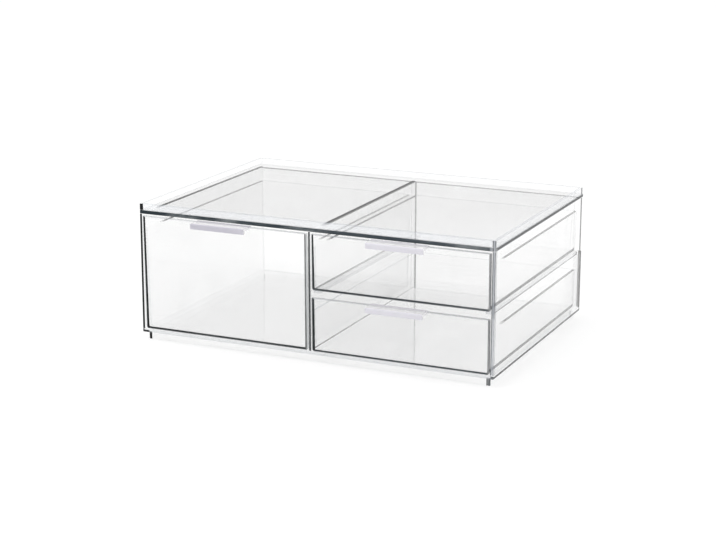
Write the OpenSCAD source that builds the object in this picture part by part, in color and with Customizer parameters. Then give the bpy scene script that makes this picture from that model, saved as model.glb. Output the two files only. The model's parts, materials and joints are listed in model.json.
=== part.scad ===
// Clear acrylic makeup organizer: one tall drawer beside two shallow ones.
// The case is bonded from flat sheets, with a stacking rim on top and a foot frame below.
// Millimetres, +X to the right along the front, +Y into the depth, +Z up.
// The origin is the middle of the whole footprint, on the surface that the organizer stands on.

/* [Case] */
// Outer width of the case
case_w = 308; // [240:1:420]
// Outer depth of the case
case_d = 213; // [150:1:300]
// Height from the underside of the base to the top of the top panel
case_h = 103; // [90:1:160]
// Thickness of the case's sheets
sheet_t = 3; // [2:0.5:5]
// Thickness of the divider between the tall drawer and the shallow ones
divider_t = 3; // [2:0.5:6]
// Sideways place of the divider, from the middle of the case
divider_x = -0.7; // [-40:0.1:40]
// Radius of the case's four upright corners
corner_r = 0.5; // [0.5:0.5:4]

/* [Rim and foot] */
// Height of the rim above the top panel
rim_h = 5.6; // [3:0.2:12]
// Thickness of the rim strips
rim_t = 3; // [2:0.5:4]
// Height of the foot frame below the base
foot_h = 6.5; // [3:0.5:14]
// Thickness of the foot strips
foot_t = 2.4; // [1.8:0.2:5]
// Sideways play of the foot frame inside the rim of an organizer below
stack_gap = 0.4; // [0.2:0.1:3]
// Radius of the foot frame's outer corners
foot_r = 1.8; // [0.6:0.2:3]

/* [Runners] */
// How far the two runners of the upper shallow drawer reach in under it
runner_w = 6; // [4:0.5:14]
// Thickness of the runners
runner_t = 3; // [2:0.5:5]
// Setback of the runners' front ends from the front edge of the case
runner_setback = 4; // [1:0.5:30]

/* [Drawers] */
// Height of the lower shallow drawer's front; the upper one takes the rest
lower_front_h = 44.3; // [35:0.1:52]
// How much lower the side and back walls are than the front
wall_drop = 10.2; // [2:0.1:20]
// Thickness of the drawer fronts
front_t = 2.6; // [1.8:0.2:5]
// Thickness of the drawers' side and back walls
wall_t = 2.2; // [1.4:0.2:4]
// Thickness of the drawers' floors
floor_t = 2.2; // [1.4:0.2:4]
// How far the top edge of each front stands proud of the case
front_proud = 1.5; // [0:0.5:6]
// Lean of the fronts, in degrees: their lower edges lie further in
front_lean = 1; // [0:0.5:4]
// Lean of the side walls, in degrees: each drawer is narrower at its floor
side_draft = 1; // [0:0.25:2]
// Radius along the lower side edges of the drawers and at the lower corners of their fronts
edge_r = 1.8; // [0.4:0.2:2.6]

/* [Clearances] */
// Play between a drawer and the case at each side of its top edge
side_gap = 0.6; // [0.4:0.1:2]
// Play under a drawer's floor, above the base or the runners
run_gap = 0.3; // [0.2:0.05:0.8]
// Play between the top edges of the tall and the upper front and the top panel
front_gap = 1.1; // [0.8:0.1:4]
// Play between the top edge of the lower front and the runners above it
lower_gap = 2.3; // [0.8:0.1:4]
// Least play between a pull's hook and the panel or runners above it
hook_gap = 0.3; // [0.2:0.1:0.3]
// Play between a closed drawer and the back wall
back_gap = 1; // [0.4:0.2:6]

/* [Pulls] */
// Width of the pulls
pull_w = 48; // [24:1:70]
// How far the pulls stand out from the top edge of the fronts
pull_reach = 10.5; // [8:0.5:20]
// Thickness of a pull's ledge and lip
pull_t = 2.2; // [1.4:0.2:3]
// How far a pull's ledge stands up where it hooks over the top edge of the front
hook_t = 0.5; // [0.5:0.1:1.4]
// Full height of a pull's turned-down lip
lip_h = 4.6; // [4:0.2:14]
// Radius of the bend between a pull's ledge and its lip
bend_r = 1.2; // [0.4:0.2:2]

/* [Hidden] */
$fn = 48;
CASE_NODES = ["top_panel", "base_panel", "left_wall", "right_wall", "back_wall", "divider"];
RIM_NODES = ["rim_front", "rim_back", "rim_left", "rim_right"];
FOOT_NODES = ["foot_front", "foot_back", "foot_left", "foot_right"];
RUNNER_NODES = ["divider_runner", "wall_runner"];
DRAWERS = ["tall", "upper", "lower"];
PANELS = ["front", "left_side", "right_side", "back", "floor", "pull"];
DRAWER_NODES = [for (d = DRAWERS, p = PANELS) str(d, "_drawer_", p)];

// heights, from the table up
base_z = foot_h;
bay_z = base_z + sheet_t;
top_z = base_z + case_h;
bay_top_z = top_z - sheet_t;
bay_h = bay_top_z - bay_z;

// places front to back: the whole footprint, pulls included, is centred on the origin
front_y = (front_proud + pull_reach) / 2 - case_d / 2;
back_y = front_y + case_d;
mid_y = (front_y + back_y) / 2;
bay_back_y = back_y - sheet_t;

// places side to side
wall_x = case_w / 2 - sheet_t;
divider_left_x = divider_x - divider_t / 2;
divider_right_x = divider_x + divider_t / 2;
left_bay_w = divider_left_x + wall_x;
right_bay_w = wall_x - divider_right_x;

// foot frame: it drops inside the rim with the stacking play all round
foot_inset = rim_t + stack_gap;
foot_w = case_w - 2 * foot_inset;
foot_d = case_d - 2 * foot_inset;

// heights of the drawers and of the runners between the shallow ones
lower_z = bay_z + run_gap;
runner_z = lower_z + lower_front_h + lower_gap;
upper_z = runner_z + runner_t + run_gap;
upper_front_h = bay_top_z - front_gap - upper_z;
tall_front_h = bay_h - run_gap - front_gap;

// each drawer: middle, width at its top edge, underside, height of its front
tall_size = [(divider_left_x - wall_x) / 2, left_bay_w - 2 * side_gap, lower_z, tall_front_h];
upper_size = [(wall_x + divider_right_x) / 2, right_bay_w - 2 * side_gap, upper_z, upper_front_h];
lower_size = [(wall_x + divider_right_x) / 2, right_bay_w - 2 * side_gap, lower_z, lower_front_h];
face_y = front_y - front_proud;
tray_d = bay_back_y - back_gap - face_y;

clear_tint = [0.86, 0.92, 0.93, 0.45];
edge_tint = [0.55, 0.64, 0.66, 0.75];
drawer_tint = [0.9, 0.94, 0.96, 0.4];
pull_tint = [0.80, 0.78, 0.85];

// ---- outlines ----

// Rectangle with round corners, centred
module round_plan(w, d, r) {
    union() {
        square([w - 2 * r, d], center = true);
        square([w, d - 2 * r], center = true);
        for (sx = [-1, 1], sy = [-1, 1])
            translate([sx * (w / 2 - r), sy * (d / 2 - r)]) circle(r);
    }
}

// Half of the width of a drawer at height z above its underside
function half_w(size, z) = size[1] / 2 - (size[3] - z) * tan(side_draft);

// How far the outer face of the leaning front lies behind its top edge at height z
function lean_y(size, z) = (size[3] - z) * tan(front_lean);

// Cross-section of a drawer seen from the front: it narrows to the floor, with round lower corners
module tray_section(size, h) {
    r = min(edge_r, wall_t);
    foot_x = half_w(size, 0);
    centre_x = foot_x - r * (1 - sin(side_draft)) / cos(side_draft);
    touch = [centre_x + r * cos(side_draft), r * (1 - sin(side_draft))];
    difference() {
        polygon([[-foot_x, 0], [foot_x, 0], [half_w(size, h), h], [-half_w(size, h), h]]);
        for (side = [0, 1]) mirror([side, 0]) difference() {
            polygon([[centre_x, -1], [centre_x, r], touch, [foot_x + r, touch[1]], [foot_x + r, -1]]);
            translate([centre_x, r]) circle(r);
        }
    }
}

// Stands an outline drawn in width and height upright, and runs it from y0 to y1
module run_back(y0, y1) {
    translate([0, y1, 0]) rotate([90, 0, 0]) linear_extrude(y1 - y0) children();
}

// Stands an outline drawn in depth and height upright, and runs it w wide about the middle
module run_across(w) {
    rotate([90, 0, 90]) translate([0, 0, -w / 2]) linear_extrude(w) children();
}

// Space between the back of a leaning front and the back wall, h high
module behind_front(size, h) {
    inner = tray_d - wall_t;
    run_across(size[1] + 2) polygon([
        [lean_y(size, 0) + front_t, 0],
        [inner, 0],
        [inner, h],
        [lean_y(size, h) + front_t, h]
    ]);
}

function wall_h(size) = size[3] - wall_drop;

// Puts a drawer's piece, drawn about its own front top edge and underside, in its bay
module in_bay(size) {
    translate([size[0], face_y, size[2]]) children();
}

// ---- case ----

// Upright slice of the case's plan, cut out of the rounded footprint
module plan_slice(z, h, x0, x1, y0, y1) {
    translate([0, 0, z]) linear_extrude(h) intersection() {
        translate([0, mid_y]) round_plan(case_w, case_d, corner_r);
        translate([x0, y0]) square([x1 - x0, y1 - y0]);
    }
}

module top_panel() {
    color(clear_tint)
        translate([0, mid_y, bay_top_z]) linear_extrude(sheet_t) round_plan(case_w, case_d, corner_r);
}

module base_panel() {
    color(clear_tint)
        translate([0, mid_y, base_z]) linear_extrude(sheet_t) round_plan(case_w, case_d, corner_r);
}

module left_wall() {
    color(clear_tint) plan_slice(bay_z, bay_h, -case_w / 2, -wall_x, front_y, back_y);
}

module right_wall() {
    color(clear_tint) plan_slice(bay_z, bay_h, wall_x, case_w / 2, front_y, back_y);
}

module back_wall() {
    color(clear_tint) plan_slice(bay_z, bay_h, -wall_x, wall_x, bay_back_y, back_y);
}

module divider() {
    color(edge_tint) plan_slice(bay_z, bay_h, divider_left_x, divider_right_x, front_y, bay_back_y);
}

// ---- rim: side strips run the full depth, front and back strips stand between them ----

rim_x = case_w / 2 - rim_t;

module rim_left() {
    color(clear_tint) plan_slice(top_z, rim_h, -case_w / 2, -rim_x, front_y, back_y);
}

module rim_right() {
    color(clear_tint) plan_slice(top_z, rim_h, rim_x, case_w / 2, front_y, back_y);
}

module rim_front() {
    color(clear_tint) plan_slice(top_z, rim_h, -rim_x, rim_x, front_y, front_y + rim_t);
}

module rim_back() {
    color(clear_tint) plan_slice(top_z, rim_h, -rim_x, rim_x, back_y - rim_t, back_y);
}

// ---- foot frame: the same layout, set in so that it drops into a rim ----

foot_x = foot_w / 2 - foot_t;
foot_front_y = mid_y - foot_d / 2;
foot_back_y = mid_y + foot_d / 2;

module foot_slice(x0, x1, y0, y1) {
    color(clear_tint) linear_extrude(foot_h) intersection() {
        translate([0, mid_y]) round_plan(foot_w, foot_d, min(foot_r, foot_t));
        translate([x0, y0]) square([x1 - x0, y1 - y0]);
    }
}

module foot_left() {
    foot_slice(-foot_w / 2, -foot_x, foot_front_y, foot_back_y);
}

module foot_right() {
    foot_slice(foot_x, foot_w / 2, foot_front_y, foot_back_y);
}

module foot_front() {
    foot_slice(-foot_x, foot_x, foot_front_y, foot_front_y + foot_t);
}

module foot_back() {
    foot_slice(-foot_x, foot_x, foot_back_y - foot_t, foot_back_y);
}

// ---- runners: ledges on the divider and the right wall that carry the upper shallow drawer ----

module runner(x0) {
    color(edge_tint) translate([x0, front_y + runner_setback, runner_z])
        cube([runner_w, bay_back_y - front_y - runner_setback, runner_t]);
}

module divider_runner() {
    runner(divider_right_x);
}

module wall_runner() {
    runner(wall_x - runner_w);
}

// ---- drawers ----

// Upright rectangle with round lower corners, as wide as the drawer's top edge
module front_outline(size) {
    r = min(edge_r, wall_t);
    translate([-size[1] / 2, r]) square([size[1], size[3] - r]);
    translate([r - size[1] / 2, 0]) square([size[1] - 2 * r, r]);
    for (side = [-1, 1])
        translate([side * (size[1] / 2 - r), r]) circle(r);
}

module drawer_front(size) {
    h = size[3];
    color(drawer_tint) in_bay(size) intersection() {
        run_back(-1, lean_y(size, 0) + front_t + 1) front_outline(size);
        run_across(size[1] + 2) polygon([
            [lean_y(size, 0), 0],
            [lean_y(size, 0) + front_t, 0],
            [front_t, h],
            [0, h]
        ]);
    }
}

// Slanted wall on one side: side is -1 for the left wall and 1 for the right one
module drawer_side(size, side) {
    h = wall_h(size);
    color(drawer_tint) in_bay(size) intersection() {
        run_back(0, tray_d) intersection() {
            tray_section(size, h);
            polygon([
                [side * (half_w(size, 0) - wall_t), 0],
                [side * (half_w(size, 0) + 1), 0],
                [side * (half_w(size, h) + 1), h],
                [side * (half_w(size, h) - wall_t), h]
            ]);
        }
        behind_front(size, h);
    }
}

module drawer_back(size) {
    color(drawer_tint) in_bay(size) run_back(tray_d - wall_t, tray_d) tray_section(size, wall_h(size));
}

module drawer_floor(size) {
    color(drawer_tint) in_bay(size) intersection() {
        run_back(0, tray_d) polygon([
            [-half_w(size, 0) + wall_t, 0],
            [half_w(size, 0) - wall_t, 0],
            [half_w(size, floor_t) - wall_t, floor_t],
            [-half_w(size, floor_t) + wall_t, floor_t]
        ]);
        behind_front(size, floor_t);
    }
}

// Ledge hooked over the front's top edge, turned down at its outer edge for the fingertips
module drawer_pull(size) {
    h = size[3];
    top = h + min(hook_t, min(front_gap, lower_gap) - hook_gap);
    r = min(bend_r, pull_t);
    color(pull_tint) in_bay(size) run_across(pull_w) difference() {
        polygon([
            [front_t, h],
            [front_t, top],
            [-pull_reach, top],
            [-pull_reach, top - lip_h],
            [-pull_reach + pull_t, top - lip_h],
            [-pull_reach + pull_t, top - pull_t],
            [lean_y(size, top - pull_t), top - pull_t],
            [0, h]
        ]);
        translate([-pull_reach, top]) difference() {
            translate([-r, -r]) square([2 * r, 2 * r]);
            translate([r, -r]) circle(r);
        }
    }
}

module tall_drawer_front() { drawer_front(tall_size); }
module tall_drawer_left_side() { drawer_side(tall_size, -1); }
module tall_drawer_right_side() { drawer_side(tall_size, 1); }
module tall_drawer_back() { drawer_back(tall_size); }
module tall_drawer_floor() { drawer_floor(tall_size); }
module tall_drawer_pull() { drawer_pull(tall_size); }

module upper_drawer_front() { drawer_front(upper_size); }
module upper_drawer_left_side() { drawer_side(upper_size, -1); }
module upper_drawer_right_side() { drawer_side(upper_size, 1); }
module upper_drawer_back() { drawer_back(upper_size); }
module upper_drawer_floor() { drawer_floor(upper_size); }
module upper_drawer_pull() { drawer_pull(upper_size); }

module lower_drawer_front() { drawer_front(lower_size); }
module lower_drawer_left_side() { drawer_side(lower_size, -1); }
module lower_drawer_right_side() { drawer_side(lower_size, 1); }
module lower_drawer_back() { drawer_back(lower_size); }
module lower_drawer_floor() { drawer_floor(lower_size); }
module lower_drawer_pull() { drawer_pull(lower_size); }

top_panel();
base_panel();
left_wall();
right_wall();
back_wall();
divider();
rim_front();
rim_back();
rim_left();
rim_right();
foot_front();
foot_back();
foot_left();
foot_right();
divider_runner();
wall_runner();
tall_drawer_front();
tall_drawer_left_side();
tall_drawer_right_side();
tall_drawer_back();
tall_drawer_floor();
tall_drawer_pull();
upper_drawer_front();
upper_drawer_left_side();
upper_drawer_right_side();
upper_drawer_back();
upper_drawer_floor();
upper_drawer_pull();
lower_drawer_front();
lower_drawer_left_side();
lower_drawer_right_side();
lower_drawer_back();
lower_drawer_floor();
lower_drawer_pull();
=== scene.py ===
import json
import math

import bmesh
import bpy
from mathutils import Matrix, Vector


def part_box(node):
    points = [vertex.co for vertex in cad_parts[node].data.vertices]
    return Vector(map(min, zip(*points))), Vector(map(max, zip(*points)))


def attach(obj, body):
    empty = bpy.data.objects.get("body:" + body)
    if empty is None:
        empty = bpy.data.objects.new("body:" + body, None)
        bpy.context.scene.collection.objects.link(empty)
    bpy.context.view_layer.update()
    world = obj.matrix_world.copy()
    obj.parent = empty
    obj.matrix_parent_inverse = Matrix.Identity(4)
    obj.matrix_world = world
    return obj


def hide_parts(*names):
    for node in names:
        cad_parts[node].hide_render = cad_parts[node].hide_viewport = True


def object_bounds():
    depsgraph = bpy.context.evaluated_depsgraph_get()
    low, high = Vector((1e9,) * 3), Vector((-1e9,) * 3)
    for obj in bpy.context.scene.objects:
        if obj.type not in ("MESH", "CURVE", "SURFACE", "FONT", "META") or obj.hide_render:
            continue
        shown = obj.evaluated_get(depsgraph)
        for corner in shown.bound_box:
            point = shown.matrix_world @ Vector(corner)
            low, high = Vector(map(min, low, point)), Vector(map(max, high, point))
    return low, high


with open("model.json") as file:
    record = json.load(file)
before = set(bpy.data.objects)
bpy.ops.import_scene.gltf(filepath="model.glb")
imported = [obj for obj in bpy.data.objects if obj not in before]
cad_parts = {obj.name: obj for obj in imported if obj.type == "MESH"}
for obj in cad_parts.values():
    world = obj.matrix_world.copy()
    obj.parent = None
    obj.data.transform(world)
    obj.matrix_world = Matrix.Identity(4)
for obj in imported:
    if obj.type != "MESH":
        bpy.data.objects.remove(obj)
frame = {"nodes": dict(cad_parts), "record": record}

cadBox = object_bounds()
record = frame["record"]
bodyOf = {node: body for body, nodes in record["behaviour"]["bodies"].items() for node in nodes}


def inMetres(mm):
    return mm / 1000


def boxMm(node):
    return [corner * 1000 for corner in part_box(node)]


# Short ways to build node trees, where a value may be a number, a colour or the socket that it comes from
def wire(tree, socket, value):
    if isinstance(value, bpy.types.NodeSocket):
        tree.links.new(value, socket)
    else:
        socket.default_value = value


def put(tree, kind, inputs=None, **props):
    made = tree.nodes.new(kind)
    for name, value in props.items():
        setattr(made, name, value)
    for key, value in (inputs or {}).items():
        wire(tree, made.inputs[key], value)
    return made


def calc(tree, operation, *values, clamp=False):
    made = put(tree, "ShaderNodeMath", operation=operation, use_clamp=clamp)
    for socket, value in zip(made.inputs, values):
        wire(tree, socket, value)
    return made.outputs[0]


def ramp(tree, value, low, high, toLow=0.0, toHigh=1.0):
    made = put(tree, "ShaderNodeMapRange", {
        "Value": value, "From Min": low, "From Max": high, "To Min": toLow, "To Max": toHigh,
    }, interpolation_type="SMOOTHSTEP")
    return made.outputs["Result"]


def blendColors(tree, share, first, second):
    made = put(tree, "ShaderNodeMix", data_type="RGBA")
    wire(tree, made.inputs["Factor"], share)
    wire(tree, made.inputs[6], first)  # 6 and 7 are the two colours, and output 2 is the mixed one
    wire(tree, made.inputs[7], second)
    return made.outputs[2]


def noise(tree, place, scale, detail=2.0, stretch=(1, 1, 1), shift=(0, 0, 0)):
    moved = put(tree, "ShaderNodeMapping", {"Vector": place, "Location": shift, "Scale": stretch})
    made = put(tree, "ShaderNodeTexNoise", {
        "Vector": moved.outputs[0], "Scale": scale, "Detail": detail, "Roughness": 0.55})
    return made.outputs["Fac"]


def splitPlace(tree, place):
    return put(tree, "ShaderNodeSeparateXYZ", {"Vector": place}).outputs


def newGroup(name, takes, gives):
    tree = bpy.data.node_groups.new(name, "ShaderNodeTree")
    for label, kind, value in takes:
        socket = tree.interface.new_socket(name=label, in_out="INPUT", socket_type=kind)
        if value is not None:
            socket.default_value = value
    for label, kind in gives:
        tree.interface.new_socket(name=label, in_out="OUTPUT", socket_type=kind)
    start = tree.nodes.new("NodeGroupInput")
    end = tree.nodes.new("NodeGroupOutput")
    return tree, start.outputs, end.inputs


def useGroup(tree, group, values, place=None):
    made = put(tree, "ShaderNodeGroup", node_tree=group)
    for label, value in values.items():
        wire(tree, made.inputs[label], value)
    if place is not None:
        tree.links.new(place, made.inputs["Place"])
    return made.outputs


def newMaterial(name):
    made = bpy.data.materials.new(name)
    made.use_nodes = True
    made.node_tree.nodes.clear()
    return made, made.node_tree, made.node_tree.nodes.new("ShaderNodeOutputMaterial").inputs["Surface"]


vector = "NodeSocketVector"
number = "NodeSocketFloat"
colour = "NodeSocketColor"
surfaceSockets = [("Color", colour), ("Alpha", number), ("Roughness", number), ("Height", number)]

# What hands and cleaning leave on clear plastic: soft smudges, hairlines, and the sheet's own slow waviness;
# the grey haze under them is a thin real haze on most sheets and painted shade on the top panel and the left
# wall
skinPattern = {
    "smudgeScale": 14, "smudgeDetail": 4, "smudgeRange": (0.48, 0.72),
    "smudgeColour": (0.9, 0.92, 0.93, 1), "smudgeShare": 0.4, "smudgeRoughness": 0.07,
    "fineScale": 900, "fineRoughness": 0.02,
    # hairlines run three ways, each with its stretch and shift
    "hairs": (((700, 14, 700), (0, 0, 0)), ((12, 640, 640), (3, 1, 0)), ((500, 500, 10), (1, 5, 2))),
    "hairRange": (0.685, 0.74), "hairDepth": 0.02,
    "waveScale": 9, "waveDetail": 1, "waveShift": (2, 7, 1),
    "clearRightMm": (-60, 100), "clearFrontMm": (-100, 90),  # where the haze, painted shade on the top panel, thins to a lighter front right
}


def buildHandledSkinAndShade(pattern):
    tree, takes, gives = newGroup("handledSkinAndShade", [
        ("Place", vector, None), ("Haze And Shade", number, 0.02), ("Shade Lost Ahead", number, 0.0),
        ("Smudges", number, 0.02), ("Hairlines", number, 0.03), ("Clean Roughness", number, 0.03),
        ("Tint", colour, (0.6, 0.66, 0.67, 1)),
    ], surfaceSockets)
    place = takes["Place"]
    clouds = noise(tree, place, pattern["smudgeScale"], pattern["smudgeDetail"])
    cloudy = ramp(tree, clouds, *pattern["smudgeRange"])
    fine = noise(tree, place, pattern["fineScale"])
    lines = [ramp(tree, noise(tree, place, 1, stretch=stretch, shift=shift), *pattern["hairRange"])
             for stretch, shift in pattern["hairs"]]
    hairs = calc(tree, "MAXIMUM", calc(tree, "MAXIMUM", lines[0], lines[1]), lines[2])
    parts = splitPlace(tree, place)
    toRight = ramp(tree, parts["X"], *map(inMetres, pattern["clearRightMm"]))
    toFront = ramp(tree, parts["Y"], *map(inMetres, pattern["clearFrontMm"]), 1.0, 0.0)
    lost = calc(tree, "MULTIPLY", calc(tree, "MULTIPLY", toRight, toFront), takes["Shade Lost Ahead"])
    hazeAndShade = calc(tree, "SUBTRACT", takes["Haze And Shade"], lost)
    smudged = calc(tree, "ADD", hazeAndShade, calc(tree, "MULTIPLY", cloudy, takes["Smudges"]))
    scratched = calc(tree, "MULTIPLY", hairs, takes["Hairlines"])
    wire(tree, gives["Alpha"], calc(tree, "ADD", smudged, scratched, clamp=True))
    dull = calc(tree, "MULTIPLY", cloudy, pattern["smudgeRoughness"])
    rough = calc(tree, "ADD", takes["Clean Roughness"], dull)
    grain = calc(tree, "MULTIPLY", fine, pattern["fineRoughness"])
    wire(tree, gives["Roughness"], calc(tree, "ADD", rough, grain, clamp=True))
    wavy = noise(tree, place, pattern["waveScale"], pattern["waveDetail"], shift=pattern["waveShift"])
    cut = calc(tree, "MULTIPLY", hairs, pattern["hairDepth"])
    wire(tree, gives["Height"], calc(tree, "SUBTRACT", wavy, cut))
    smudge = calc(tree, "MULTIPLY", cloudy, pattern["smudgeShare"])
    wire(tree, gives["Color"], blendColors(tree, smudge, takes["Tint"], pattern["smudgeColour"]))
    return tree


# Painted shade on a cut or moulded edge: a dark or pale line standing in for light lost inside the sheet, or
# a glued joint's own dark line; one tone on the left and one on the right, covering less or more with depth
edgePattern = {
    "depthMm": (-100, 113),
    "rippleScale": 22, "rippleDetail": 3, "rippleStretch": (1, 1, 2.5), "rippleShift": (4, 0, 2),
    "rippleRange": (0.42, 0.7), "rippleColour": (0.42, 0.47, 0.48, 1), "rippleThins": 0.5,
    "grainScale": 160, "grainShift": (1, 3, 8), "grainRange": (0.3, 0.75), "grainRoughness": (0.14, 0.3),
    "grainDepth": 0.15,
}


def buildEdgeTone(pattern):
    tree, takes, gives = newGroup("edgeTone", [
        ("Place", vector, None), ("Left Tone", colour, (0.02, 0.03, 0.035, 1)),
        ("Right Tone", colour, (0.2, 0.22, 0.25, 1)), ("Front Cover", number, 0.9),
        ("Back Cover", number, 0.5), ("Right Share", number, 1.0), ("Ripple", number, 0.25),
        ("Clear Until", number, -0.5), ("Full From", number, -0.4),
    ], surfaceSockets)
    place = takes["Place"]
    parts = splitPlace(tree, place)
    across = ramp(tree, parts["X"], cadBox[0][0], cadBox[1][0])
    deep = ramp(tree, parts["Y"], *map(inMetres, pattern["depthMm"]))
    slow = noise(tree, place, pattern["rippleScale"], pattern["rippleDetail"],
                 pattern["rippleStretch"], pattern["rippleShift"])
    quick = noise(tree, place, pattern["grainScale"], shift=pattern["grainShift"])
    tone = blendColors(tree, across, takes["Left Tone"], takes["Right Tone"])
    lift = calc(tree, "MULTIPLY", ramp(tree, slow, *pattern["rippleRange"]), takes["Ripple"])
    wire(tree, gives["Color"], blendColors(tree, lift, tone, pattern["rippleColour"]))
    gain = calc(tree, "SUBTRACT", takes["Back Cover"], takes["Front Cover"])
    cover = calc(tree, "MULTIPLY_ADD", deep, gain, takes["Front Cover"])
    toRight = calc(tree, "MULTIPLY_ADD", across, calc(tree, "SUBTRACT", takes["Right Share"], 1.0), 1.0)
    started = ramp(tree, parts["Y"], takes["Clear Until"], takes["Full From"])
    thinned = calc(tree, "SUBTRACT", 1.0, calc(tree, "MULTIPLY", lift, pattern["rippleThins"]))
    shown = calc(tree, "MULTIPLY", calc(tree, "MULTIPLY", cover, toRight), started)
    wire(tree, gives["Alpha"], calc(tree, "MULTIPLY", shown, thinned, clamp=True))
    wire(tree, gives["Roughness"], ramp(tree, quick, *pattern["grainRange"], *pattern["grainRoughness"]))
    wire(tree, gives["Height"], calc(tree, "MULTIPLY_ADD", quick, pattern["grainDepth"], slow))
    return tree


# A soft painted stripe of shade along an edge, whose place may drift from its low end to its high end
def buildEdgeStripe():
    tree, takes, gives = newGroup("edgeStripe", [
        ("Across", number, 0.0), ("Along", number, 0.0), ("Low Place", number, 0.0),
        ("High Place", number, 0.0), ("Low End", number, 0.0), ("High End", number, 0.1),
        ("Half Width", number, 0.0005), ("Softness", number, 0.0003),
    ], [("Mask", number)])
    share = put(tree, "ShaderNodeMapRange", {
        "Value": takes["Along"], "From Min": takes["Low End"], "From Max": takes["High End"]})
    drift = calc(tree, "SUBTRACT", takes["High Place"], takes["Low Place"])
    middle = calc(tree, "MULTIPLY_ADD", share.outputs["Result"], drift, takes["Low Place"])
    away = calc(tree, "ABSOLUTE", calc(tree, "SUBTRACT", takes["Across"], middle))
    outer = calc(tree, "ADD", takes["Half Width"], takes["Softness"])
    wire(tree, gives["Mask"], ramp(tree, away, takes["Half Width"], outer, 1.0, 0.0))
    return tree


# The fine blasted grain of the frosted pulls, worn a little in patches, on a tone that goes from a darker
# left to a lighter right, which is painted shade
frostPattern = {
    "grainScale": 2600, "grainDetail": 3, "grainRange": (0.25, 0.75), "grainRoughness": (0.42, 0.62),
    "patchScale": 45, "patchDetail": 3, "patchShift": (6, 2, 4), "wornRange": (0.5, 0.75),
    "wornColour": (0.86, 0.86, 0.9, 1), "wornShare": 0.2, "wornCover": 0.05,
    "leftToRightMm": (-60, 60),
}


def buildFrostGrain(pattern):
    tree, takes, gives = newGroup("frostGrain", [
        ("Place", vector, None), ("Left Tone", colour, (0.55, 0.53, 0.6, 1)),
        ("Right Tone", colour, (0.7, 0.7, 0.75, 1)), ("Grain", number, 0.12), ("Cover", number, 0.9),
    ], surfaceSockets)
    place = takes["Place"]
    grain = noise(tree, place, pattern["grainScale"], pattern["grainDetail"])
    patches = noise(tree, place, pattern["patchScale"], pattern["patchDetail"], shift=pattern["patchShift"])
    worn = ramp(tree, patches, *pattern["wornRange"])
    side = ramp(tree, splitPlace(tree, place)["X"], *map(inMetres, pattern["leftToRightMm"]))
    tone = blendColors(tree, side, takes["Left Tone"], takes["Right Tone"])
    paler = calc(tree, "MULTIPLY", worn, pattern["wornShare"])
    share = calc(tree, "MULTIPLY_ADD", grain, takes["Grain"], paler, clamp=True)
    wire(tree, gives["Color"], blendColors(tree, share, tone, pattern["wornColour"]))
    thinner = calc(tree, "MULTIPLY", worn, pattern["wornCover"])
    wire(tree, gives["Alpha"], calc(tree, "SUBTRACT", takes["Cover"], thinner, clamp=True))
    wire(tree, gives["Roughness"], ramp(tree, grain, *pattern["grainRange"], *pattern["grainRoughness"]))
    wire(tree, gives["Height"], grain)
    return tree


handledSkinAndShade = buildHandledSkinAndShade(skinPattern)
edgeTone = buildEdgeTone(edgePattern)
edgeStripe = buildEdgeStripe()
frostGrain = buildFrostGrain(frostPattern)

# What all the plastics share
plastic = {
    "ior": 1.49, "slantPower": 5.0, "edgeShine": 0.2,
    "waveMm": 2, "edgeBump": 0.2, "edgeBumpMm": 0.4, "frostBump": 0.3, "frostBumpMm": 0.08,
    "stripeLowMm": 10, "stripeHighMm": 105,  # between these a stripe drifts from one place to the other
}


# A clear face: thin haze over what lies behind it, painted shade where the haze is thick, and a mirror that
# grows as the sheet is seen at a slant
def clearPlastic(name, look):
    made, tree, surface = newMaterial(name)
    place = put(tree, "ShaderNodeTexCoord").outputs["Object"]
    skin = useGroup(tree, handledSkinAndShade, look["skin"], place)
    bump = put(tree, "ShaderNodeBump", {
        "Strength": look["wave"], "Distance": inMetres(plastic["waveMm"]), "Height": skin["Height"]})
    film = put(tree, "ShaderNodeBsdfPrincipled", {
        "Base Color": skin["Color"], "Alpha": skin["Alpha"], "Roughness": skin["Roughness"],
        "IOR": plastic["ior"], "Normal": bump.outputs[0]})
    gloss = put(tree, "ShaderNodeBsdfAnisotropic", {
        "Color": look["gloss"], "Roughness": skin["Roughness"], "Normal": bump.outputs[0]})
    facing = put(tree, "ShaderNodeLayerWeight", {"Blend": 0.5}).outputs["Facing"]
    slant = calc(tree, "POWER", facing, plastic["slantPower"])
    mirror = calc(tree, "MULTIPLY_ADD", slant, look["mirrorAtSlant"], look["mirrorHeadOn"])
    join = put(tree, "ShaderNodeMixShader", {"Fac": mirror, 1: film.outputs[0], 2: gloss.outputs[0]})
    tree.links.new(join.outputs[0], surface)
    return made
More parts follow.
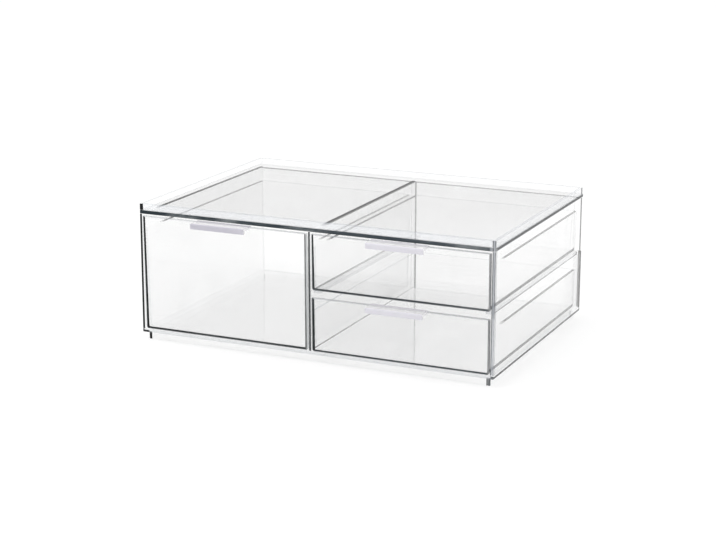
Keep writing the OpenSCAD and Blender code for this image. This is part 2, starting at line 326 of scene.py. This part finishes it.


# An edge: its painted shade tone with any painted stripes on it, kept in part where it is seen from inside
# the sheet
def edgePlastic(name, look):
    made, tree, surface = newMaterial(name)
    place = put(tree, "ShaderNodeTexCoord").outputs["Object"]
    tone = useGroup(tree, edgeTone, look["tone"], place)
    shade, cover = tone["Color"], tone["Alpha"]
    parts = splitPlace(tree, place)
    for stripe in look["stripes"]:
        mask = useGroup(tree, edgeStripe, {
            "Across": parts[stripe["axis"]], "Along": parts["X" if stripe["axis"] == "Z" else "Z"],
            "Low Place": inMetres(stripe["placeMm"]),
            "High Place": inMetres(stripe["placeMm"] + stripe["driftMm"]),
            "Low End": inMetres(plastic["stripeLowMm"]), "High End": inMetres(plastic["stripeHighMm"]),
            "Half Width": inMetres(stripe["halfMm"]), "Softness": inMetres(stripe["softMm"])})["Mask"]
        shade = blendColors(tree, mask, shade, stripe["tone"])
        mixed = put(tree, "ShaderNodeMix", {"Factor": mask, "A": cover, "B": stripe["cover"]})
        cover = mixed.outputs["Result"]
    behind = put(tree, "ShaderNodeNewGeometry").outputs["Backfacing"]
    keep = calc(tree, "MULTIPLY_ADD", behind, look["seenFromInside"] - 1.0, 1.0)
    bump = put(tree, "ShaderNodeBump", {
        "Strength": plastic["edgeBump"], "Distance": inMetres(plastic["edgeBumpMm"]),
        "Height": tone["Height"]})
    body = put(tree, "ShaderNodeBsdfPrincipled", {
        "Base Color": shade, "Alpha": calc(tree, "MULTIPLY", cover, keep), "Roughness": tone["Roughness"],
        "IOR": plastic["ior"], "Specular IOR Level": look["shine"], "Normal": bump.outputs[0]})
    tree.links.new(body.outputs[0], surface)
    return made


def frostedPlastic(name, look):
    made, tree, surface = newMaterial(name)
    place = put(tree, "ShaderNodeTexCoord").outputs["Object"]
    grain = useGroup(tree, frostGrain, look, place)
    bump = put(tree, "ShaderNodeBump", {
        "Strength": plastic["frostBump"], "Distance": inMetres(plastic["frostBumpMm"]),
        "Height": grain["Height"]})
    body = put(tree, "ShaderNodeBsdfPrincipled", {
        "Base Color": grain["Color"], "Alpha": grain["Alpha"], "Roughness": grain["Roughness"],
        "IOR": plastic["ior"], "Normal": bump.outputs[0]})
    tree.links.new(body.outputs[0], surface)
    return made


def greyTone(level, cool=0.0):
    return (level, level * (1 + cool / 2), level * (1 + cool))


def stripeAt(axis, placeMm, halfMm, softMm, level, cover, driftMm=0):
    return {"axis": axis, "placeMm": placeMm, "driftMm": driftMm, "halfMm": halfMm, "softMm": softMm,
            "tone": greyTone(level, cool=0.2) + (1,), "cover": cover}


# front and back are how much the tone covers there, and inside the share of it that is left from inside
def edgeLook(left, right, front, back, inside, ripple=0.1, rightShare=1.0, fadeMm=None, stripes=(),
             shine=plastic["edgeShine"]):
    tone = {"Left Tone": left + (1,), "Right Tone": right + (1,), "Front Cover": front, "Back Cover": back,
            "Ripple": ripple, "Right Share": rightShare}
    if fadeMm:
        tone["Clear Until"] = inMetres(fadeMm[0])
        tone["Full From"] = inMetres(fadeMm[1])
    return {"tone": tone, "seenFromInside": inside, "stripes": stripes, "shine": shine}


# Colours for the edges: black, slate, greySlate and paleOuter for painted shade, palePlastic for the edges'
# own pale tint, lavender for painted reflections, and clearGloss for the clear faces' mirror
black = (0.004, 0.005, 0.006)
slate = (0.018, 0.03, 0.038)
greySlate = (0.06, 0.073, 0.085)
palePlastic = (0.55, 0.6, 0.64)
paleOuter = (0.3, 0.34, 0.36)
lavender = (0.36, 0.38, 0.43)
clearGloss = (0.97, 0.97, 0.97, 1)

# Places that stripes and fades are measured from, in millimetres
caseLeft, caseRight = boxMm("left_wall")[0].x, boxMm("right_wall")[1].x
panelFront, panelTop = boxMm("top_panel")[0].y, boxMm("top_panel")[1].z
dividerMiddle = sum(corner.x for corner in boxMm("divider")) / 2
jointFade = (panelFront + 20.5, panelFront + 34.5)  # a joint is clear up to the first, full from the second

caseSkin = {"Haze And Shade": 0.012, "Smudges": 0.014, "Hairlines": 0.03, "Clean Roughness": 0.02,
            "Tint": (0.4, 0.42, 0.42, 1)}
# painted shade: more grey haze on the left wall, for a greyer left side of the tall drawer
leftSkin = {**caseSkin, "Haze And Shade": 0.045}
# painted shade: a thick grey haze that greys the cells seen through the top panel, thinner towards the front
# right
topSkin = {"Haze And Shade": 0.175, "Shade Lost Ahead": 0.08, "Smudges": 0.02, "Hairlines": 0.03,
           "Clean Roughness": 0.02, "Tint": (0.3, 0.3, 0.3, 1)}
drawerSkin = {"Haze And Shade": 0.014, "Smudges": 0.012, "Hairlines": 0.03, "Clean Roughness": 0.03,
              "Tint": (0.42, 0.43, 0.43, 1)}
rimSkin = {"Haze And Shade": 0.03, "Smudges": 0.03, "Hairlines": 0.03, "Clean Roughness": 0.02,
           "Tint": (0.66, 0.72, 0.75, 1)}
# painted reflection: a bluish haze and a stronger head-on mirror on the front rim strip's face, for a pale
# bluish band
rimFrontSkin = {**rimSkin, "Haze And Shade": 0.06, "Tint": (0.82, 0.87, 0.97, 1)}
clearLooks = {
    "caseFace": {"skin": caseSkin, "wave": 0.12, "gloss": clearGloss, "mirrorAtSlant": 0.8,
                 "mirrorHeadOn": 0.025},
    "leftFace": {"skin": leftSkin, "wave": 0.12, "gloss": clearGloss, "mirrorAtSlant": 0.8,
                 "mirrorHeadOn": 0.025},
    "topFace": {"skin": topSkin, "wave": 0.12, "gloss": (0.96, 0.96, 0.96, 1), "mirrorAtSlant": 0.34,
                "mirrorHeadOn": 0.03},
    "drawerFace": {"skin": drawerSkin, "wave": 0.15, "gloss": clearGloss, "mirrorAtSlant": 0.7,
                   "mirrorHeadOn": 0.02},
    "rimFrontFace": {"skin": rimFrontSkin, "wave": 0.15, "gloss": (0.95, 0.97, 1, 1), "mirrorAtSlant": 0.8,
                     "mirrorHeadOn": 0.12},
    "rimFace": {"skin": rimSkin, "wave": 0.15, "gloss": (0.97, 0.98, 1, 1), "mirrorAtSlant": 0.8,
                "mirrorHeadOn": 0.035},
}
# Painted shade: the dark and grey lines stand in for light lost inside the sheets, their tone and cover
# changing from left to right and front to back as the light falls; lavender tones and glows are painted
# reflections; the joint and glued looks are the joints' own dark lines
edgeLooks = {
    # ends and outer edges of the case's sheets
    "slateEdge": edgeLook(slate, greySlate, front=1.0, back=0.85, inside=0.1, ripple=0.25),
    "panelSide": edgeLook(palePlastic, palePlastic, front=0.3, back=0.2, inside=0.1, stripes=[
        stripeAt("Z", panelTop - 0.9, halfMm=0.95, softMm=0.3, level=0.033, cover=0.97, driftMm=-0.5)]),
    "leftEnd": edgeLook(palePlastic, palePlastic, front=0.1, back=0.1, inside=0.12, stripes=[
        stripeAt("X", caseLeft, halfMm=2.0, softMm=0.3, level=0.012, cover=1.0)]),
    "dividerEnd": edgeLook(palePlastic, palePlastic, front=0.15, back=0.1, inside=0.12, stripes=[
        stripeAt("X", dividerMiddle + 0.1, halfMm=0.7, softMm=0.45, level=0.04, cover=0.95, driftMm=-0.7)]),
    "rightEnd": edgeLook(palePlastic, (0.5, 0.52, 0.58), front=0.55, back=0.55, inside=0.12, stripes=[
        stripeAt("X", caseRight - 2.5, halfMm=0.35, softMm=0.4, level=0.16, cover=0.9),
        stripeAt("X", caseRight - 0.6, halfMm=0.3, softMm=0.5, level=0.3, cover=0.6)]),
    "rightEndUpper": edgeLook(palePlastic, lavender, front=0.7, back=0.6, inside=0.12, stripes=[
        stripeAt("X", caseRight - 2.5, halfMm=0.3, softMm=0.4, level=0.14, cover=0.9),
        stripeAt("X", caseRight - 0.5, halfMm=0.35, softMm=0.4, level=0.14, cover=0.85)]),
    "cornerGlow": edgeLook(lavender, lavender, front=0.75, back=0.75, inside=0.12, stripes=[
        stripeAt("X", caseRight - 4.2, halfMm=0.3, softMm=0.4, level=0.2, cover=0.8),
        stripeAt("X", caseRight - 2.4, halfMm=0.4, softMm=0.4, level=0.1, cover=0.9),
        stripeAt("X", caseRight - 0.4, halfMm=0.3, softMm=0.4, level=0.14, cover=0.8)]),
    "cornerSide": edgeLook(lavender, lavender, front=0.35, back=0.35, inside=0.1),
    "outerEdge": edgeLook(greySlate, greySlate, front=0.8, back=0.85, inside=0.06, ripple=0.2),
    "outerPale": edgeLook(paleOuter, paleOuter, front=0.2, back=0.2, inside=0.06, ripple=0.2),
    "faintEdge": edgeLook(palePlastic, (0.5, 0.53, 0.6), front=0.28, back=0.2, inside=0.4),
    "hiddenEdge": edgeLook(palePlastic, palePlastic, front=0.08, back=0.06, inside=0.4),
    "baseLine": edgeLook(greyTone(0.05), greyTone(0.05, cool=0.05), front=0.95, back=0.8, inside=0.1),
    "cornerLine": edgeLook(black, black, front=1.0, back=1.0, inside=0.1),
    # glued joints, and the back corners as they show through the sheets
    "jointDark": edgeLook(greyTone(0.008), greyTone(0.02), front=1.0, back=1.0, inside=0.15,
                          fadeMm=jointFade),
    "jointGrey": edgeLook(greyTone(0.01), greyTone(0.05), front=1.0, back=0.9, inside=0.15, rightShare=0.75,
                          fadeMm=jointFade),
    "gluedDark": edgeLook(greyTone(0.008), greyTone(0.008), front=1.0, back=1.0, inside=1.0, ripple=0.02,
                          fadeMm=jointFade, shine=0.0),
    "gluedLeft": edgeLook(greyTone(0.008), greyTone(0.008), front=1.0, back=0.8, inside=1.0, ripple=0.05,
                          fadeMm=jointFade, shine=0.0),
    "backLine": edgeLook(greyTone(0.06), greyTone(0.06), front=0.8, back=0.8, inside=0.5),
    "backPost": edgeLook(greyTone(0.2), greyTone(0.2), front=0.8, back=0.8, inside=1.0),
    "backPostUpper": edgeLook(greyTone(0.1), greyTone(0.1), front=0.85, back=0.85, inside=1.0),
    # rim and feet
    "rimLine": edgeLook((0.4, 0.44, 0.46), (0.4, 0.44, 0.48), front=0.3, back=0.3, inside=0.4),
    "rimPost": edgeLook(black, lavender, front=1.0, back=0.5, inside=0.15, rightShare=0.8),
    "footPost": edgeLook(greyTone(0.01), greyTone(0.17, cool=0.1), front=1.0, back=0.4, inside=0.15,
                         ripple=0.05),
    # fronts and trays of the drawers
    "blackEdge": edgeLook(black, (0.02, 0.026, 0.028), front=1.0, back=0.9, inside=0.95, ripple=0.06),
    "bottomLine": edgeLook(black, (0.05, 0.06, 0.065), front=1.0, back=0.9, inside=0.8),
    "sideLine": edgeLook((0.12, 0.125, 0.125), (0.13, 0.135, 0.14), front=0.95, back=0.9, inside=0.1),
    "sideGlow": edgeLook((0.5, 0.56, 0.55), (0.55, 0.57, 0.6), front=0.6, back=0.6, inside=0.1, ripple=0.2),
    "topLine": edgeLook((0.62, 0.64, 0.66), (0.3, 0.32, 0.34), front=0.6, back=0.5, inside=0.3),
    "trayFoot": edgeLook(greyTone(0.2), greyTone(0.035, cool=0.1), front=0.95, back=0.85, inside=0.1),
    "trayTop": edgeLook(greyTone(0.07), greyTone(0.09), front=0.9, back=0.85, inside=0.2, fadeMm=jointFade),
    "floorLine": edgeLook(greyTone(0.12), greyTone(0.12), front=0.75, back=0.3, inside=1.0),
}
# Painted light on the pulls: the lip is darker on the left as painted shade, and the ledge is a paler,
# thinner copy of the same frost, painted light on the tops
frostLooks = {
    "frostLip": {"Left Tone": (0.6, 0.58, 0.66, 1), "Right Tone": (0.82, 0.8, 0.87, 1), "Grain": 0.1,
                 "Cover": 0.93},
    "frostLedge": {"Left Tone": (1, 0.98, 1, 1), "Right Tone": (1, 0.99, 1, 1), "Grain": 0.1, "Cover": 0.3},
}
materials = {name: clearPlastic(name, look) for name, look in clearLooks.items()}
materials.update({name: edgePlastic(name, look) for name, look in edgeLooks.items()})
materials.update({name: frostedPlastic(name, look) for name, look in frostLooks.items()})
print("plastics mixed:", ", ".join(materials))

# How the sheets are made from their solids, and how surely a face must look to a side to get its tone
sheetFinish = {
    "drawnInMm": 0.03, "mergeMm": 0.001, "flatDegrees": 0.6, "sameWay": 0.94,
    "roundSteps": 3, "roundDegrees": 32,
    "broadMm": 4,  # a face wider than this is a face of the sheet, and a narrower one an edge
    "sureness": 0.65, "stripSureness": 0.4, "cutMm": 0.0001, "endMm": 0.1,
}


# Every sheet starts as a merged copy of its solid, drawn in by a hair, so that glued neighbours
# don't share a plane
def mergedCopy(node):
    net = bmesh.new()
    net.from_mesh(frame["nodes"][node].data)
    bmesh.ops.remove_doubles(net, verts=net.verts, dist=inMetres(sheetFinish["mergeMm"]))
    flat = math.radians(sheetFinish["flatDegrees"])
    bmesh.ops.dissolve_limit(net, angle_limit=flat, verts=net.verts, edges=net.edges)
    bmesh.ops.recalc_face_normals(net, faces=net.faces)
    moves = {}
    for corner in net.verts:
        normals = []
        for face in corner.link_faces:
            if all(face.normal.dot(other) < sheetFinish["sameWay"] for other in normals):
                normals.append(face.normal.copy())
        moves[corner] = sum(normals, Vector()) * -inMetres(sheetFinish["drawnInMm"])
    for corner, move in moves.items():
        corner.co += move
    return net


def roundEdges(net, node, widthMm, steps):
    mesh = bpy.data.meshes.new(node + "_sheet")
    net.to_mesh(mesh)
    net.free()
    piece = bpy.data.objects.new(node + "_sheet", mesh)
    bpy.context.scene.collection.objects.link(piece)
    rounded = piece.modifiers.new("roundedEdges", "BEVEL")
    rounded.width = inMetres(widthMm)
    rounded.segments = steps
    rounded.limit_method = "ANGLE"
    rounded.angle_limit = math.radians(sheetFinish["roundDegrees"])
    rounded.use_clamp_overlap = True
    graph = bpy.context.evaluated_depsgraph_get()
    plain = bpy.data.meshes.new_from_object(piece.evaluated_get(graph), depsgraph=graph)
    piece.modifiers.clear()
    piece.data = plain
    return piece


def meanWidth(face):
    return face.calc_area() / max(edge.calc_length() for edge in face.edges)


sideWays = {
    "front": Vector((0, -1, 0)), "back": Vector((0, 1, 0)), "left": Vector((-1, 0, 0)),
    "right": Vector((1, 0, 0)), "top": Vector((0, 0, 1)), "under": Vector((0, 0, -1)),
}


# The tone for the side that a face looks to, or the plain tone where it looks to none of them
def pickTone(way, sides, plain, sureness=sheetFinish["sureness"]):
    best = max(sides, key=lambda side: way.dot(sideWays[side]), default=None)
    return sides[best] if best and way.dot(sideWays[best]) > sureness else plain


# A strip of one tone on a side: each range is the end that it is measured from, and its start and stop
# from there in millimetres
def stripOn(side, tone, **ranges):
    byAxis = {"xyz".index(axis): limits for axis, limits in ranges.items()}
    return {"side": side, "tone": tone, "ranges": byAxis}


def cutAcross(net, axis, place):
    middle, way = Vector((0, 0, 0)), Vector((0, 0, 0))
    middle[axis], way[axis] = place, 1
    bmesh.ops.bisect_plane(net, geom=net.verts[:] + net.edges[:] + net.faces[:],
                           dist=inMetres(sheetFinish["cutMm"]), plane_co=middle, plane_no=way)


def paintStrips(net, low, high, strips, names):
    ends = inMetres(sheetFinish["endMm"])
    for strip in strips:
        ranges = {}
        for axis, (end, start, stop) in strip["ranges"].items():
            first = low[axis] + inMetres(start) if end == "low" else high[axis] - inMetres(stop)
            last = low[axis] + inMetres(stop) if end == "low" else high[axis] - inMetres(start)
            ranges[axis] = (first, last)
            for cut in (first, last):
                if low[axis] + ends < cut < high[axis] - ends:
                    cutAcross(net, axis, cut)
        net.normal_update()
        for face in net.faces:
            middle = face.calc_center_median()
            if (face.normal.dot(sideWays[strip["side"]]) > sheetFinish["stripSureness"]
                    and all(first < middle[axis] < last for axis, (first, last) in ranges.items())):
                face.material_index = names.index(strip["tone"])


marginFinish = {
    "startMm": 0.3, "topMm": 0.2, "facing": 0.98, "fieldMm": 20,
    "sideReachMm": 3, "topReachMm": 0.5,  # a corner of the field that is this near a side moves with it
}


def widthAt(widths, depth):
    return widths[0] * (1 - depth) + widths[1] * depth


# A dark margin on a front's outer face, painted shade where light is lost at the sheet's edges, whose left
# and right widths may differ from top to bottom
def paintMargin(net, low, high, margin, names):
    field = inMetres(marginFinish["fieldMm"])
    wide = [face for face in net.faces
            if face.normal.y < -marginFinish["facing"] and meanWidth(face) > field]
    start = inMetres(marginFinish["startMm"])
    ring = bmesh.ops.inset_individual(net, faces=wide, thickness=start, use_even_offset=True)["faces"]
    middle, reach = (low + high) / 2, (high - low) / 2
    for face in ring:
        x, z = [(face.calc_center_median()[axis] - middle[axis]) / reach[axis] for axis in (0, 2)]
        way = Vector((x, 0, 0)) if abs(x) > abs(z) else Vector((0, 0, z))
        tone = pickTone(way.normalized(), margin["tones"], margin["tones"]["top"])
        face.material_index = names.index(tone)
    corners = {corner for face in wide for corner in face.verts}
    bottom, top = min(c.co.z for c in corners), max(c.co.z for c in corners)
    west, east = min(c.co.x for c in corners), max(c.co.x for c in corners)
    near, nearTop = inMetres(marginFinish["sideReachMm"]), inMetres(marginFinish["topReachMm"])
    for corner in corners:
        depth = (top - corner.co.z) / (top - bottom)
        if corner.co.x < west + near:
            corner.co.x += inMetres(widthAt(margin["leftMm"], depth)) - start
        if corner.co.x > east - near:
            corner.co.x -= inMetres(widthAt(margin["rightMm"], depth)) - start
        if corner.co.z < bottom + near:
            corner.co.z += inMetres(margin["bottomMm"]) - start
        if corner.co.z > top - nearTop:
            corner.co.z += start - inMetres(marginFinish["topMm"])


def dress(node, look):
    piece = roundEdges(mergedCopy(node), node, look["roundMm"], look.get("steps", sheetFinish["roundSteps"]))
    sides, broadSides = look.get("sides", {}), look.get("broadSides", {})
    strips, margin = look.get("strips", []), look.get("margin")
    names = [look["face"], look["edge"]]
    for name in (*sides.values(), *(strip["tone"] for strip in strips),
                 *(margin["tones"].values() if margin else ()), *broadSides.values()):
        if name not in names:
            names.append(name)
    low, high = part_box(node)
    net = bmesh.new()
    net.from_mesh(piece.data)
    net.normal_update()
    for face in net.faces:
        face.smooth = False
        broad = meanWidth(face) > inMetres(sheetFinish["broadMm"])
        tones, plain = (broadSides, look["face"]) if broad else (sides, look["edge"])
        sureness = look.get("sureness", sheetFinish["sureness"])
        face.material_index = names.index(pickTone(face.normal, tones, plain, sureness))
    paintStrips(net, low, high, strips, names)
    if margin:
        paintMargin(net, low, high, margin, names)
    net.to_mesh(piece.data)
    net.free()
    for name in names:
        piece.data.materials.append(materials[name])
    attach(piece, bodyOf[node])
    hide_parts(node)


# Case: the sheets first, then the strips of rim and foot frame, and the runners; their sides and strips put
# on the painted edge shade and painted reflections
caseSheet = {"roundMm": 0.35, "face": "caseFace", "edge": "hiddenEdge"}

topPanelLook = {
    "roundMm": 0.4, "face": "topFace", "edge": "slateEdge",
    "sides": {"front": "slateEdge", "left": "slateEdge", "right": "panelSide", "back": "panelSide"},
    # painted reflection: a lavender glow on the panel's front right corner
    "strips": [stripOn("front", "cornerGlow", x=("high", 0, 5)),
               stripOn("right", "cornerGlow", y=("low", 0, 2.4)),
               stripOn("under", "gluedLeft", x=("low", 0, 3.3)),
               stripOn("under", "gluedDark", x=("low", 150.9, 154.1))],
}
dress("top_panel", topPanelLook)

basePanelLook = {
    **caseSheet, "roundMm": 0.5,
    "sides": {"front": "faintEdge", "left": "outerEdge", "back": "outerEdge"},
    "strips": [stripOn("right", "backPost", y=("high", 0, 2.4)),
               stripOn("right", "baseLine", z=("low", 0, 2.1)),
               stripOn("front", "cornerLine", x=("low", 0, 6.2), z=("low", 0, 1.9)),
               stripOn("front", "cornerLine", x=("low", 0, 1.5)),
               stripOn("front", "footPost", x=("high", 0, 2.5), z=("low", 0, 2.5))],
}
dress("base_panel", basePanelLook)

leftWallLook = {**caseSheet, "face": "leftFace",
                "sides": {"front": "leftEnd", "left": "hiddenEdge", "back": "outerEdge"}}
dress("left_wall", leftWallLook)

rightWallLook = {
    **caseSheet,
    "sides": {"front": "rightEnd", "right": "hiddenEdge", "back": "backPost"},
    "strips": [stripOn("front", "rightEndUpper", z=("high", 0, 52)),
               stripOn("right", "cornerSide", y=("low", 0, 2.6)),
               stripOn("right", "backPost", y=("high", 0, 4.6), z=("low", 0, 50)),
               stripOn("right", "backPostUpper", y=("high", 3, 6.4), z=("high", 0, 47)),
               stripOn("back", "outerEdge", z=("high", 0, 47))],
}
dress("right_wall", rightWallLook)

backWallLook = {**caseSheet, "sides": {"top": "jointGrey"},
                "strips": [stripOn("front", "jointGrey", z=("high", 0, 0.5)),
                           stripOn("front", "backLine", x=("low", 151.9, 153.3))]}
dress("back_wall", backWallLook)

dividerLook = {**caseSheet, "sides": {"front": "dividerEnd", "top": "jointDark"},
               "strips": [stripOn("right", "jointDark", z=("high", 0, 0.5)),
                          stripOn("left", "backLine", y=("high", 0, 0.9))]}
dress("divider", dividerLook)

rimStrip = {"roundMm": 0.5, "face": "rimFace", "edge": "hiddenEdge"}
rimLooks = {
    "front": {**rimStrip, "face": "rimFrontFace", "edge": "faintEdge"},
    "back": {**rimStrip, "sides": {"top": "rimLine"}},
    "left": {**rimStrip,
             "sides": {"front": "rimPost", "left": "rimPost", "back": "outerEdge", "top": "rimLine"},
             "strips": [stripOn("left", "outerPale", y=("high", 0, 208)),
                        stripOn("right", "rimPost", y=("low", 0, 0.7))]},
    "right": {**rimStrip, "edge": "faintEdge", "sides": {"front": "rightEndUpper", "back": "outerEdge"},
              "strips": [stripOn("right", "backPostUpper", y=("high", 3, 6.4))]},
}
footLook = {**caseSheet, "roundMm": 0.5,
            "strips": [stripOn("front", "footPost", x=("low", 0, 0.9)),
                       stripOn("front", "footPost", x=("high", 0, 1.2))]}
footSideLook = {**caseSheet, "roundMm": 0.4, "sides": {"front": "footPost", "back": "outerEdge"},
                "strips": [stripOn("left", "footPost", y=("low", 0, 2)),
                           stripOn("right", "footPost", y=("low", 0, 0.5))]}
for side, look in rimLooks.items():
    dress("rim_" + side, look)
    dress("foot_" + side, footLook if side in ("front", "back") else footSideLook)

runnerLook = {**caseSheet, "roundMm": 0.4, "edge": "faintEdge"}
dress("divider_runner", runnerLook)

wallRunnerLook = {**runnerLook, "strips": [stripOn("right", "baseLine", z=("low", 0, 1.3)),
                                           stripOn("right", "trayFoot", y=("high", 0, 2.5))]}
dress("wall_runner", wallRunnerLook)
print("case dressed")

# Drawers: all three are made alike, but each front has its own dark margin of painted shade, its side widths
# at top and bottom
frontTones = {"left": "blackEdge", "right": "sideLine", "under": "bottomLine", "top": "topLine"}
frontSheet = {"roundMm": 0.6, "face": "drawerFace", "edge": "topLine", "sides": frontTones}
frontMargins = {
    "tall": {"leftMm": (1.6, 2.1), "rightMm": (1.2, 1.5), "bottomMm": 1.5, "tones": frontTones},
    "upper": {"leftMm": (1.2, 1.9), "rightMm": (0.6, 0.6), "bottomMm": 1.4, "tones": frontTones},
    "lower": {"leftMm": (1.9, 2.1), "rightMm": (0.6, 0.6), "bottomMm": 1.2, "tones": frontTones},
}
traySheet = {"roundMm": 0.4, "face": "drawerFace", "edge": "hiddenEdge"}
trayLooks = {
    "left_side": {**traySheet, "sides": {"top": "trayTop"},
                  "strips": [stripOn("right", "trayTop", z=("high", 0, 0.6))]},
    "right_side": {**traySheet, "sides": {"top": "trayTop"},
                   "strips": [stripOn("right", "trayTop", z=("high", 0, 0.5)),
                              stripOn("right", "trayFoot", z=("low", 0, 3.7))]},
    "back": {**traySheet, "sides": {"top": "faintEdge", "right": "faintEdge"}},
    "floor": {**traySheet, "roundMm": 0.3},
}
ownLooks = {
    # painted highlight: a pale glow on the right edge of the tall front
    "tall_drawer_front": {"sides": {**frontTones, "right": "sideGlow"}},
    "tall_drawer_right_side": {"strips": [stripOn("right", "trayTop", z=("high", 0, 0.5))]},
    "upper_drawer_left_side": {"strips": [stripOn("right", "trayTop", z=("high", 0, 0.6)),
                                          stripOn("left", "floorLine", z=("low", 0, 1.2))]},
    "lower_drawer_left_side": {"sides": {"top": "faintEdge"},
                               "strips": [stripOn("left", "floorLine", z=("low", 1.4, 2.6))]},
}
# faces that look up, back, aside or down get the paler ledge copy of the frost: painted light on the tops,
# and a thinner look underneath
pullLook = {
    "roundMm": 0.4, "steps": 4, "face": "frostLip", "edge": "frostLip", "sureness": 0.9,
    "broadSides": {"top": "frostLedge", "under": "frostLedge", "back": "frostLedge"},
    "sides": {side: "frostLedge" for side in ("top", "back", "left", "right")},
}
for drawer, margin in frontMargins.items():
    drawerLooks = {"front": {**frontSheet, "margin": margin}, **trayLooks, "pull": pullLook}
    for part, look in drawerLooks.items():
        node = drawer + "_drawer_" + part
        dress(node, {**look, **ownLooks.get(node, {})})
print("drawers dressed")

# Camera at the photograph's place: a long lens, from the right front and a little above
cameraLook = {"place": (0.60448, -1.34526, 0.43686), "turn": 24.36, "drop": 14.621, "roll": 0.132,
              "lens": 91.772, "sensor": 36, "nearest": 0.01, "farthest": 60}


def placeCamera(look):
    turn, drop, roll = (math.radians(look[key]) for key in ("turn", "drop", "roll"))
    ahead = Vector((-math.sin(turn) * math.cos(drop), math.cos(turn) * math.cos(drop), -math.sin(drop)))
    right = Vector((math.cos(turn), math.sin(turn), 0))
    up = right.cross(ahead)
    right, up = right * math.cos(roll) + up * math.sin(roll), up * math.cos(roll) - right * math.sin(roll)
    lens = bpy.data.cameras.new("studioCamera")
    lens.lens = look["lens"]
    lens.sensor_width = look["sensor"]
    lens.sensor_fit = "HORIZONTAL"
    lens.clip_start = look["nearest"]
    lens.clip_end = look["farthest"]
    camera = bpy.data.objects.new("studioCamera", lens)
    turned = Matrix((right, up, -ahead)).transposed().to_4x4()
    camera.matrix_world = Matrix.Translation(look["place"]) @ turned
    bpy.context.scene.collection.objects.link(camera)
    bpy.context.scene.camera = camera


placeCamera(cameraLook)


# 1 for the rays that show the background to the eye, straight or by way of a mirror or glass
def isSeen(tree):
    path = put(tree, "ShaderNodeLightPath").outputs
    seen = calc(tree, "MAXIMUM", path["Is Camera Ray"], path["Is Glossy Ray"])
    return calc(tree, "MAXIMUM", seen, path["Is Transmission Ray"])


# Floor: plain and pale, white to the eye, and it keeps the soft shadow of the sheets
floorLook = {"size": 30.0, "glow": 0.62, "paint": (0.46, 0.46, 0.46, 1), "bounce": (0.82, 0.82, 0.82, 1)}


def makeFloor(look):
    half = look["size"] / 2
    mesh = bpy.data.meshes.new("floor")
    corners = [(-half, -half, 0), (half, -half, 0), (half, half, 0), (-half, half, 0)]
    mesh.from_pydata(corners, [], [(0, 1, 2, 3)])
    made, tree, surface = newMaterial("paleFloor")
    paint = put(tree, "ShaderNodeBsdfDiffuse", {"Color": look["paint"]})
    glow = put(tree, "ShaderNodeEmission", {"Color": (1, 1, 1, 1), "Strength": look["glow"]})
    shown = put(tree, "ShaderNodeAddShader", {0: paint.outputs[0], 1: glow.outputs[0]})
    bounce = put(tree, "ShaderNodeBsdfDiffuse", {"Color": look["bounce"]})
    both = put(tree, "ShaderNodeMixShader", {"Fac": isSeen(tree), 1: bounce.outputs[0], 2: shown.outputs[0]})
    tree.links.new(both.outputs[0], surface)
    mesh.materials.append(made)
    floor = bpy.data.objects.new("floor", mesh)
    bpy.context.scene.collection.objects.link(floor)


makeFloor(floorLook)

# Light: an even white tent, which mirrors see a little greyer overhead, and one wide soft lamp
tentLook = {"tent": 0.86, "overhead": 0.72, "greyFrom": 0.1, "greyTo": 0.6,
            "lamp": 9.0, "lampSize": 1.6, "lampPlace": (-0.7, -0.5, 1.9)}


def makeTent(look):
    world = bpy.data.worlds.new("whiteTent")
    world.use_nodes = True
    bpy.context.scene.world = world
    tree = world.node_tree
    tree.nodes.clear()
    seen = isSeen(tree)
    path = put(tree, "ShaderNodeLightPath").outputs
    height = splitPlace(tree, put(tree, "ShaderNodeTexCoord").outputs["Generated"])["Z"]
    grey = ramp(tree, height, look["greyFrom"], look["greyTo"], 1.0, look["overhead"])
    mirrored = calc(tree, "MULTIPLY_ADD", calc(tree, "SUBTRACT", grey, 1.0), path["Is Glossy Ray"], 1.0)
    strength = calc(tree, "MULTIPLY_ADD", calc(tree, "SUBTRACT", mirrored, look["tent"]), seen, look["tent"])
    back = put(tree, "ShaderNodeBackground", {"Color": (1, 1, 1, 1), "Strength": strength})
    tree.links.new(back.outputs[0], tree.nodes.new("ShaderNodeOutputWorld").inputs["Surface"])
    lamp = bpy.data.lights.new("softLamp", "AREA")
    lamp.shape = "DISK"
    lamp.size = look["lampSize"]
    lamp.energy = look["lamp"]
    holder = bpy.data.objects.new("softLamp", lamp)
    holder.location = look["lampPlace"]
    holder.rotation_euler = (-Vector(look["lampPlace"])).to_track_quat("-Z", "Y").to_euler()
    bpy.context.scene.collection.objects.link(holder)


makeTent(tentLook)

scene = bpy.context.scene
scene.view_settings.view_transform = "Standard"
scene.cycles.transparent_max_bounces = 96  # a view through the whole organizer crosses dozens of faces
print("studio ready")
